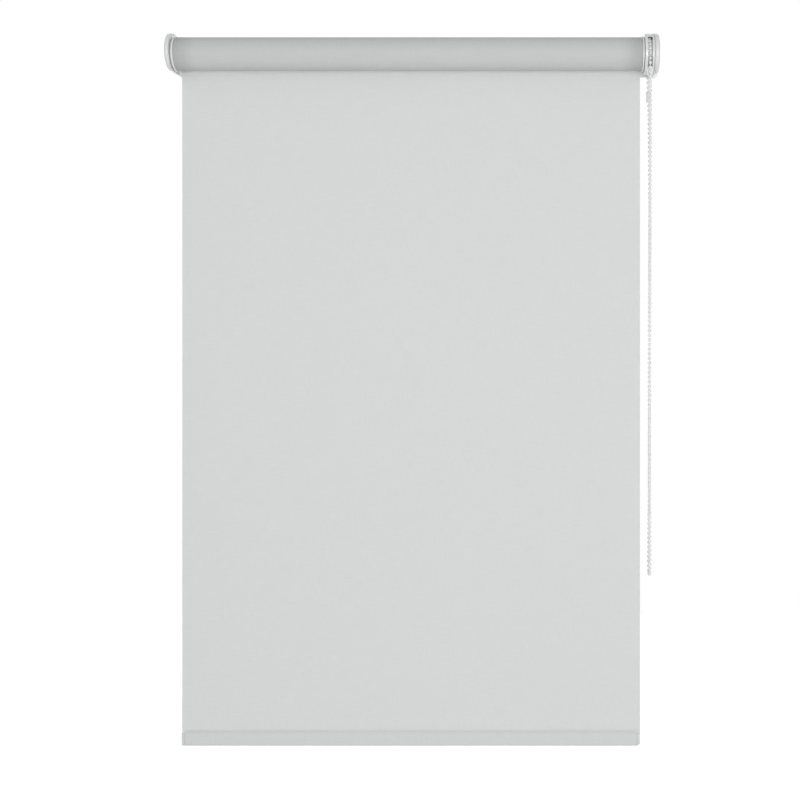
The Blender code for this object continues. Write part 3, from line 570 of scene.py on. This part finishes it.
# ---- Wound cloth
# The cloth on the tube, one spiral of twelve turns. Its free end leaves at the back of the
# roll and becomes the hanging cloth; its inner end is locked in the tube by a strip.
ROLL_RADIUS = (roll_high[2] - roll_low[2]) / 2
tube_low, tube_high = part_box("roller_tube")
TUBE_RADIUS = (tube_high[1] - tube_low[1]) / 2
TURN_STEPS = 64
WOUND_COLUMNS = 6
LAYER = 0.00056  # cloth with a little air between its turns
outer_radius = ROLL_RADIUS - CLOTH_THICKNESS / 2
turns = int((outer_radius - TUBE_RADIUS) / LAYER)
spiral = []
for step in range(turns * TURN_STEPS + 1):
    angle = 2 * math.pi * step / TURN_STEPS
    radius = outer_radius - LAYER * step / TURN_STEPS
    spiral.append((AXIS.y + radius * math.cos(angle), AXIS.z + radius * math.sin(angle)))
# painted shade: the colour is darkened over the last 30 mm towards both ends of the roll
end_shaded_polyester = woven_polyester("wound_polyester", "DADDDC", "D5D8D7", 0.25, 0.2)
wound_cloth = cloth_band("wound_cloth", spiral, roll_low[0], roll_high[0], WOUND_COLUMNS,
                         end_shaded_polyester)
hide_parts("fabric_roll")
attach(wound_cloth, "roller")


# ---- Hanging cloth
# One layer from the back of the roll to the hem, pulled flat by the bar. Its cut edges curl
# back a little and it ripples less than a millimetre.
drop_low, drop_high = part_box("fabric_drop")
pocket_low, pocket_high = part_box("hem_pocket")
CURL = 0.0010
CURL_WIDTH = 0.022
RIPPLE = 0.00045
# radians a metre across, radians a metre up, radians at the start, share of the ripple
RIPPLES = ((21, 1.7, 0.0, 0.6), (47, -2.9, 1.1, 0.4))
DROP_ROWS = 90
DROP_COLUMNS = 64
drop_y = (drop_low[1] + drop_high[1]) / 2
drop_length = drop_high[2] - drop_low[2]
drop_line = [(drop_y, drop_high[2] - drop_length * i / DROP_ROWS) for i in range(DROP_ROWS + 1)]


def cloth_sway(x, z):
    """Curl at the cut edges and soft upright ripples, both fading out at roll and hem."""
    height = min(max((z - drop_low[2]) / drop_length, 0.0), 1.0)
    held = abs(math.sin(math.pi * height)) ** 0.5
    edge = CLOTH_WIDTH / 2 - abs(x)
    curl = CURL * math.exp(-edge / CURL_WIDTH)
    waves = sum(math.sin(x * wide + z * tall + start) * share
                for wide, tall, start, share in RIPPLES)
    return held * (curl + RIPPLE * waves)


hanging_cloth = cloth_band("hanging_cloth", drop_line, drop_low[0], drop_high[0], DROP_COLUMNS,
                           polyester, cloth_sway)
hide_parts("fabric_drop")
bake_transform(hanging_cloth)


# ---- Hem
# The cloth is folded back on itself round the weight bar, and the fold is closed by a line
# of short ultrasonic welds just above the bar.
HEM_STEPS = 12
HEM_COLUMNS = 48
HEM_LAP = 0.0026  # how far the pocket runs up over the hanging cloth before it is welded
hem_y = (pocket_low[1] + pocket_high[1]) / 2
hem_half = (pocket_high[1] - pocket_low[1]) / 2 - CLOTH_THICKNESS / 2
lip_half = CLOTH_THICKNESS * 0.52  # half a layer and a little air, so that the two don't cut
hem_top = pocket_high[2] + HEM_LAP
hem_foot = pocket_low[2] + CLOTH_THICKNESS / 2
LIP_HEIGHT = 0.0005
SWELL_HEIGHT = 0.0030
SWELL_STEPS = 6
# two layers over the bar let little light through; their grey is a touch paler than the rest of
# the cloth, painted light that makes up for the dimmer hem
hem_polyester = woven_polyester("hem_polyester", "DCDFDE", "D7DAD9", 0.08)


def hem_side(direction):
    """From the weld down one side of the pocket to where its foot begins to turn."""
    lip_y = hem_y + direction * lip_half
    side = [(lip_y, hem_top), (lip_y, hem_top - LIP_HEIGHT)]
    for step in range(1, SWELL_STEPS + 1):
        t = step / SWELL_STEPS
        ease = t * t * (3 - 2 * t)
        side.append((hem_y + direction * (lip_half + (hem_half - lip_half) * ease),
                     hem_top - LIP_HEIGHT - SWELL_HEIGHT * t))
    return side


hem_turn = []
for step in range(HEM_STEPS + 1):
    angle = math.pi * step / HEM_STEPS
    hem_turn.append((hem_y - hem_half * math.cos(angle),
                     hem_foot + hem_half * (1 - math.sin(angle))))
hem_line = [*hem_side(-1), *hem_turn, *hem_side(1)[::-1]]
hem_cloth = cloth_band("hem_cloth", hem_line, pocket_low[0], pocket_high[0], HEM_COLUMNS,
                       hem_polyester)
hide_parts("hem_pocket")
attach(hem_cloth, "bottom_bar")

WELD_PITCH = 0.0042
WELD_LENGTH = 0.0028
WELD_HEIGHT = 0.0008
WELD_THROUGH = 0.00024  # half of it stands proud of the cloth


def weld_tree():
    """Short raised bars at an even pitch along X."""
    tree, keys, source, result = geometry_tree("hem_welds", {
        "Pitch": "NodeSocketFloat", "Bar size": "NodeSocketVector", "Bars": "NodeSocketInt",
        "Material": "NodeSocketMaterial"})
    first = add_node(tree, "GeometryNodeMeshToPoints", inputs={"Mesh": source.outputs["Geometry"]})
    step = add_node(tree, "ShaderNodeCombineXYZ", inputs={"X": source.outputs["Pitch"]})
    line = add_node(tree, "GeometryNodeMeshLine", inputs={
        "Count": source.outputs["Bars"], "Offset": step.outputs["Vector"]})
    rows = add_node(tree, "GeometryNodeInstanceOnPoints", inputs={
        "Points": first.outputs["Points"], "Instance": line.outputs["Mesh"]})
    row = add_node(tree, "GeometryNodeRealizeInstances", inputs={
        "Geometry": rows.outputs["Instances"]})
    bar = add_node(tree, "GeometryNodeMeshCube", inputs={"Size": source.outputs["Bar size"]})
    bars = add_node(tree, "GeometryNodeInstanceOnPoints", inputs={
        "Points": row.outputs["Geometry"], "Instance": bar.outputs["Mesh"]})
    finish_tree(tree, result, bars.outputs["Instances"])
    return tree, keys


WELD_TREE, WELD_KEYS = weld_tree()
weld_count = int((pocket_high[0] - pocket_low[0]) / WELD_PITCH)
weld_start = -(weld_count - 1) * WELD_PITCH / 2
weld_face = lip_half + CLOTH_THICKNESS / 2
weld_rows = [(weld_start, hem_y + side * weld_face, hem_top - LIP_HEIGHT / 2) for side in (-1, 1)]
# the cloth is pressed hard in a weld, which makes it a shade greyer
welded = woven_polyester("welded_polyester", "DADDDC", "D3D6D5", 0.08)
hem_welds = grown("hem_welds", weld_rows, [], WELD_TREE, WELD_KEYS, {
    "Pitch": WELD_PITCH, "Bar size": (WELD_LENGTH, WELD_THROUGH, WELD_HEIGHT),
    "Bars": weld_count, "Material": welded})
maps = hem_welds.data.uv_layers
weld_map = maps.get("cut_cloth") or maps.new(name="cut_cloth")
for loop in hem_welds.data.loops:
    corner = hem_welds.data.vertices[loop.vertex_index].co
    weld_map.data[loop.index].uv = (corner.x, corner.z)
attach(hem_welds, "bottom_bar")


# ---- Weight bar and its end caps
# An extruded aluminium flat slides into the hem. A polypropylene cap is pushed into each
# end of it; the cap at the chain side has its lower corner taken off.
LINE_DEPTH = 0.00005
CAP_EDGE = 0.0004
MERGE_DISTANCE = 2e-7
FLAT_DEGREES = 0.6
EDGE_DEGREES = 40


def drawn_metal(name, code, shade, roughness, line_mm, run_mm, strength):
    """Metal with faint lines along X, as an extrusion die or a drawing plate leaves them."""
    made = bpy.data.materials.new(name)
    made.use_nodes = True
    tree = made.node_tree
    shader = tree.nodes["Principled BSDF"]
    shader.inputs["Metallic"].default_value = 1.0
    place = add_node(tree, "ShaderNodeTexCoord")
    drawn = add_node(tree, "ShaderNodeMapping", inputs={
        "Vector": place.outputs["Object"],
        "Scale": (1000 / run_mm, 1000 / line_mm, 1000 / line_mm)})
    lines = add_node(tree, "ShaderNodeTexNoise", inputs={
        "Vector": drawn.outputs["Vector"], "Scale": 1.0, "Detail": 3.0})
    colour = add_node(tree, "ShaderNodeMix", {"data_type": "RGBA"}, {
        "Factor": lines.outputs["Fac"], 6: linear(code), 7: linear(shade)})
    rough = add_node(tree, "ShaderNodeMapRange", inputs={
        "Value": lines.outputs["Fac"], "To Min": roughness * 0.8, "To Max": roughness * 1.25})
    bump = add_node(tree, "ShaderNodeBump", inputs={
        "Strength": strength, "Distance": LINE_DEPTH, "Height": lines.outputs["Fac"]})
    tree.links.new(colour.outputs[2], shader.inputs["Base Color"])
    tree.links.new(rough.outputs["Result"], shader.inputs["Roughness"])
    tree.links.new(bump.outputs["Normal"], shader.inputs["Normal"])
    return made


def dress(node, finish):
    """Gives a CAD node its real finish."""
    data = frame["nodes"][node].data
    data.materials.clear()
    data.materials.append(finish)


def softened(node, name, finish, body, width):
    """The CAD node again with its edges broken, as moulding or tumbling leaves them."""
    shape = bmesh.new()
    shape.from_mesh(frame["nodes"][node].data)
    bmesh.ops.remove_doubles(shape, verts=shape.verts, dist=MERGE_DISTANCE)
    bmesh.ops.dissolve_limit(shape, angle_limit=math.radians(FLAT_DEGREES), verts=shape.verts,
                             edges=shape.edges)
    piece = piece_from(name, shape, finish)
    rounds = piece.modifiers.new("broken_edges", "BEVEL")
    rounds.width = width
    rounds.segments = 2
    rounds.limit_method = "ANGLE"
    rounds.angle_limit = math.radians(EDGE_DEGREES)
    rounds.miter_outer = "MITER_ARC"
    settle(piece)
    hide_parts(node)
    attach(piece, body)


# mill aluminium is pale and satin, with long die lines
mill_aluminium = drawn_metal("mill_aluminium", "D3D5D7", "C4C7CA", 0.36, 0.7, 120.0, 0.3)
# polypropylene caps are moulded to match the cloth
cap_plastic = moulded_plastic("polypropylene_caps", "D6D8D7", "CFD1D0", 0.42, 1.49, 0.7)
dress("weight_bar", mill_aluminium)
softened("bar_cap_left", "left_bar_cap", cap_plastic, "bottom_bar", CAP_EDGE)
softened("bar_cap_right", "right_bar_cap", cap_plastic, "bottom_bar", CAP_EDGE)


# ---- Roller tube and cloth strip
# A 28 mm aluminium tube with a rolled-in key groove. A PVC strip welded to the cloth's edge
# slides into the groove and locks the cloth on.
dress("roller_tube", mill_aluminium)
# extruded PVC is a little yellow and waxy
extruded_pvc = moulded_plastic("extruded_pvc", "DCDCD4", "D0D0C6", 0.4, 1.53, 1.2)
dress("fabric_spline", extruded_pvc)


# ---- Idle end
# A nylon plug grips the tube and turns on a zinc-plated steel pin. The pin is sprung, so
# that it can be pushed in to lift the blind off its bracket.
PLUG_EDGE = 0.00035
COIL_DEGREES = 60
# unfilled nylon is a warm, slightly waxy white
nylon = moulded_plastic("moulded_nylon", "E8E8E6", "DFE0DE", 0.42, 1.53, 0.8, 0.3)
# zinc plate is bluish white with soft cloudy patches
zinc_plate = drawn_metal("zinc_plated_steel", "C9CCD1", "B4B8BE", 0.3, 2.0, 2.5, 0.2)
# spring wire is drawn and left grey
spring_wire = drawn_metal("drawn_spring_wire", "8F9194", "7A7C80", 0.28, 0.3, 6.0, 0.2)
softened("idle_plug", "left_plug", nylon, "roller", PLUG_EDGE)
dress("plug_end_cap", nylon)
dress("idle_pin", zinc_plate)
# the real spring stays against the plug's end cap and shortens when the pin is pushed in; here it
# moves with the pin, on a mesh of its own
spring_shape = bmesh.new()
spring_shape.from_mesh(frame["nodes"]["idle_pin_spring"].data)
pin_spring = piece_from("pin_spring", spring_shape, spring_wire, COIL_DEGREES)
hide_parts("idle_pin_spring")
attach(pin_spring, "idle_pin")
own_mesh(pin_spring)


# ---- Drive end inside the roll
# The crown grips the tube. The pulley's sleeve runs in it, round a fixed hub; two wrap
# springs lock sleeve and hub until the chain is pulled. A screw and washer hold them on.
softened("drive_crown", "right_crown", nylon, "roller", PLUG_EDGE)
dress("clutch_hub", nylon)
dress("clutch_spring_inner", spring_wire)
dress("clutch_spring_outer", spring_wire)
dress("clutch_washer", zinc_plate)
dress("clutch_screw", zinc_plate)


# ---- Chain pulley
# A nylon wheel with twenty half-round pockets, one for each ball, between two thin rims. It
# is one moulding with the sleeve that reaches into the crown.
wheel_low, wheel_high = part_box("chain_sprocket")
rim_radius = (wheel_high[2] - wheel_low[2]) / 2
WHEEL_WIDTH = 0.0072
SLEEVE_RADIUS = 0.0089
SLEEVE_BORE = 0.0076
RIM = 0.0009
RIM_FOOT = RIM * 1.8
POCKET_DEPTH = 0.0012
POCKET_PLAY = 0.00025
WHEEL_EDGE = 0.0003
WHEEL_SIDES = 80
WEB_RADIUS = PITCH_RADIUS - BEAD / 2 + POCKET_DEPTH
wheel_inner = CHAIN_X - WHEEL_WIDTH / 2
wheel_outer = CHAIN_X + WHEEL_WIDTH / 2
wheel = lathe([
    (wheel_low[0], SLEEVE_BORE), (wheel_outer, SLEEVE_BORE), (wheel_outer, rim_radius),
    (wheel_outer - RIM, rim_radius), (wheel_outer - RIM_FOOT, WEB_RADIUS),
    (wheel_inner + RIM_FOOT, WEB_RADIUS), (wheel_inner + RIM, rim_radius),
    (wheel_inner, rim_radius), (wheel_inner, SLEEVE_RADIUS), (wheel_low[0], SLEEVE_RADIUS)],
    WHEEL_SIDES, WHEEL_EDGE)
bmesh.ops.translate(wheel, verts=wheel.verts, vec=AXIS)
pulley = piece_from("chain_pulley", wheel, nylon)


def carve(piece, tool, operation="DIFFERENCE"):
    """Cuts the tool's shape out of the piece, or joins it on, and throws the tool away."""
    cutting = piece.modifiers.new("carve", "BOOLEAN")
    cutting.operation = operation
    cutting.solver = "EXACT"
    cutting.object = tool
    settle(piece)
    bpy.data.objects.remove(tool, do_unlink=True)
    piece.data.shade_smooth()
    piece.data.set_sharp_from_angle(angle=math.radians(SHARP_DEGREES))


pocket_shape = bmesh.new()
for pocket in range(POCKETS):
    at = round_pulley(2 * math.pi * (pocket + 0.5) / POCKETS)
    bmesh.ops.create_icosphere(pocket_shape, subdivisions=2, radius=BEAD / 2 + POCKET_PLAY,
                               matrix=Matrix.Translation(at))
carve(pulley, piece_from("pulley_pockets", pocket_shape, nylon))
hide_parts("chain_sprocket")
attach(pulley, "roller")


# ---- Chain guard
# A drum of white ABS round the pulley. The chain shows in a round-ended window at the front
# and comes out past a tapered tongue; a second opening at the back lets it go up again.
# ABS takes a smooth gloss from the mould
abs_white = moulded_plastic("moulded_abs", "E4E5E5", "DCDDDE", 0.3, 1.53, 0.6, 0.15)
guard_low, guard_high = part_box("chain_guard")
GUARD_WALL = 0.0016
GUARD_EDGE = 0.0006
GUARD_SIDES = 96
SLEEVE_PLAY = 0.0004
HUB_HOLE = 0.0063
guard_radius = guard_high[2]
inner_hole = SLEEVE_RADIUS + SLEEVE_PLAY
drum = lathe([
    (guard_low[0], inner_hole), (guard_low[0] + GUARD_WALL, inner_hole),
    (guard_low[0] + GUARD_WALL, guard_radius - GUARD_WALL),
    (guard_high[0] - GUARD_WALL, guard_radius - GUARD_WALL),
    (guard_high[0] - GUARD_WALL, HUB_HOLE), (guard_high[0], HUB_HOLE),
    (guard_high[0], guard_radius), (guard_low[0], guard_radius)], GUARD_SIDES, GUARD_EDGE)
bmesh.ops.translate(drum, verts=drum.verts, vec=AXIS)
guard = piece_from("guard_drum", drum, abs_white)
WINDOW_HALF = 0.0031
WINDOW_TOP = 0.0178
WINDOW_FOOT = -0.0220
WINDOW_EDGE = 0.0014
EXIT_EDGE = 0.0012
PAST_FRONT = 0.004
PAST_BACK = 0.002


def soft_block(name, low, high, edge):
    """A block with rounded edges."""
    shape = bmesh.new()
    low = Vector(low)
    size = Vector(high) - low
    at = Matrix.Translation(low + size / 2) @ Matrix.Diagonal((*size, 1))
    bmesh.ops.create_cube(shape, size=1, matrix=at)
    bmesh.ops.bevel(shape, geom=list(shape.edges), offset=edge, segments=3, profile=0.5,
                    affect="EDGES")
    return piece_from(name, shape, abs_white)


carve(guard, soft_block(
    "front_window", (CHAIN_X - WINDOW_HALF, AXIS.y - guard_radius - PAST_FRONT, WINDOW_FOOT),
    (CHAIN_X + WINDOW_HALF, AXIS.y - PITCH_RADIUS + BEAD, WINDOW_TOP), WINDOW_EDGE))
back_strand = AXIS.y + PITCH_RADIUS
carve(guard, soft_block(
    "back_exit", (CHAIN_X - WINDOW_HALF, back_strand - BEAD, -guard_radius - PAST_BACK),
    (CHAIN_X + WINDOW_HALF, AXIS.y + guard_radius + PAST_BACK, -BEAD), EXIT_EDGE))
TONGUE_TIP = 0.00225  # half its width at the tip
TONGUE_THICKNESS = 0.0024
TONGUE_EDGE = 0.0008


def guide_tongue():
    """The tapered tongue under the drum that keeps the chain in line with the pulley."""
    front = AXIS.y - math.sqrt(guard_radius**2 - WINDOW_FOOT**2)
    half = (guard_high[0] - guard_low[0]) / 2 - GUARD_WALL
    outline = [(-half, WINDOW_FOOT + GUARD_WALL), (-half, -guard_radius),
               (-TONGUE_TIP, guard_low[2]), (TONGUE_TIP, guard_low[2]),
               (half, -guard_radius), (half, WINDOW_FOOT + GUARD_WALL)]
    shape = bmesh.new()
    rounded = rounded_corners(outline, TONGUE_EDGE, 3)
    face = shape.faces.new([shape.verts.new((CHAIN_X + x, front, z)) for x, z in rounded])
    pulled = bmesh.ops.extrude_face_region(shape, geom=[face])["geom"]
    moved = [part for part in pulled if isinstance(part, bmesh.types.BMVert)]
    bmesh.ops.translate(shape, verts=moved, vec=(0, TONGUE_THICKNESS, 0))
    return piece_from("guide_tongue", shape, abs_white)


carve(guard, guide_tongue(), "UNION")
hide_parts("chain_guard")
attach(guard, "wall_frame")


# ---- Brackets
# Pressed steel 1.5 mm thick, powder coated white: a side plate that carries the roller and
# a flange with two screw holes against the wall.
PLATE_EDGE = 0.0003
COAT_RELIEF = 0.5


def powder_coat(name, code, shade):
    """Baked polyester powder: satin, with the faint orange peel of melted grains."""
    made = moulded_plastic(name, code, shade, 0.38, 1.5, 1.6)
    bump = next(n for n in made.node_tree.nodes if n.bl_idname == "ShaderNodeBump")
    bump.inputs["Strength"].default_value = COAT_RELIEF
    return made


coated_steel = powder_coat("powder_coated_steel", "EBECEC", "E2E3E4")
softened("bracket_left", "left_bracket_plate", coated_steel, "wall_frame",
         PLATE_EDGE)
softened("bracket_right", "right_bracket_plate", coated_steel, "wall_frame",
         PLATE_EDGE)


# ---- Bracket covers
# Thin ABS caps that snap over the side plates. Each is round towards the room, straight
# back to the wall and domed on its outer face, with a soft edge.
COVER_WALL = 0.0015
COVER_EDGE = 0.0030
COVER_DOME = 0.0009
NOSE_STEPS = 40
EDGE_STEPS = 8
DOME_SHARES = (0.25, 0.5, 0.75, 0.93)  # how far in from the edge each ring of the dome lies
COVER_DEGREES = 50


def d_outline(radius, middle, back, inset):
    """A half circle towards the room with straight sides, drawn in from the full outline."""
    points = [(back, middle - radius + inset)]
    for step in range(NOSE_STEPS + 1):
        angle = -math.pi / 2 + math.pi * step / NOSE_STEPS
        points.append((AXIS.y - (radius - inset) * math.cos(angle),
                       middle + (radius - inset) * math.sin(angle)))
    return [*points, (back, middle + radius - inset)]


def cover(node, name, side):
    """The outer skin from rim to face, given its wall thickness inwards."""
    low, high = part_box(node)
    rim, face = (high[0], low[0]) if side < 0 else (low[0], high[0])
    middle = (low[2] + high[2]) / 2
    radius = (high[2] - low[2]) / 2
    back = high[1]
    face -= side * COVER_DOME
    rings = [(rim, 0.0)]
    for step in range(EDGE_STEPS + 1):
        angle = math.pi / 2 * step / EDGE_STEPS
        rings.append((face - side * COVER_EDGE * (1 - math.sin(angle)),
                      COVER_EDGE * (1 - math.cos(angle))))
    for share in DOME_SHARES:
        rings.append((face + side * COVER_DOME * (1 - (1 - share) ** 2),
                      COVER_EDGE + (radius - COVER_EDGE) * share))
    shape = bmesh.new()
    loops = []
    for x, inset in rings:
        outline = d_outline(radius, middle, back, inset)
        loops.append([shape.verts.new((x, y, z)) for y, z in outline])
    for near, far in zip(loops, loops[1:]):
        for a, b, c, d in zip(near, near[1:], far[1:], far):
            shape.faces.new((a, b, c, d))
    shape.faces.new(loops[-1])
    skin = piece_from(name, shape, abs_white, COVER_DEGREES)
    outward = sum(poly.normal.x * side * poly.area for poly in skin.data.polygons)
    if outward < 0:
        skin.data.flip_normals()
    wall = skin.modifiers.new("wall", "SOLIDIFY")
    wall.thickness = COVER_WALL
    wall.offset = -1
    wall.use_even_offset = True
    settle(skin)
    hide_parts(node)
    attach(skin, "wall_frame")


cover("cover_left", "left_cap", -1)
cover("cover_right", "right_cap", 1)
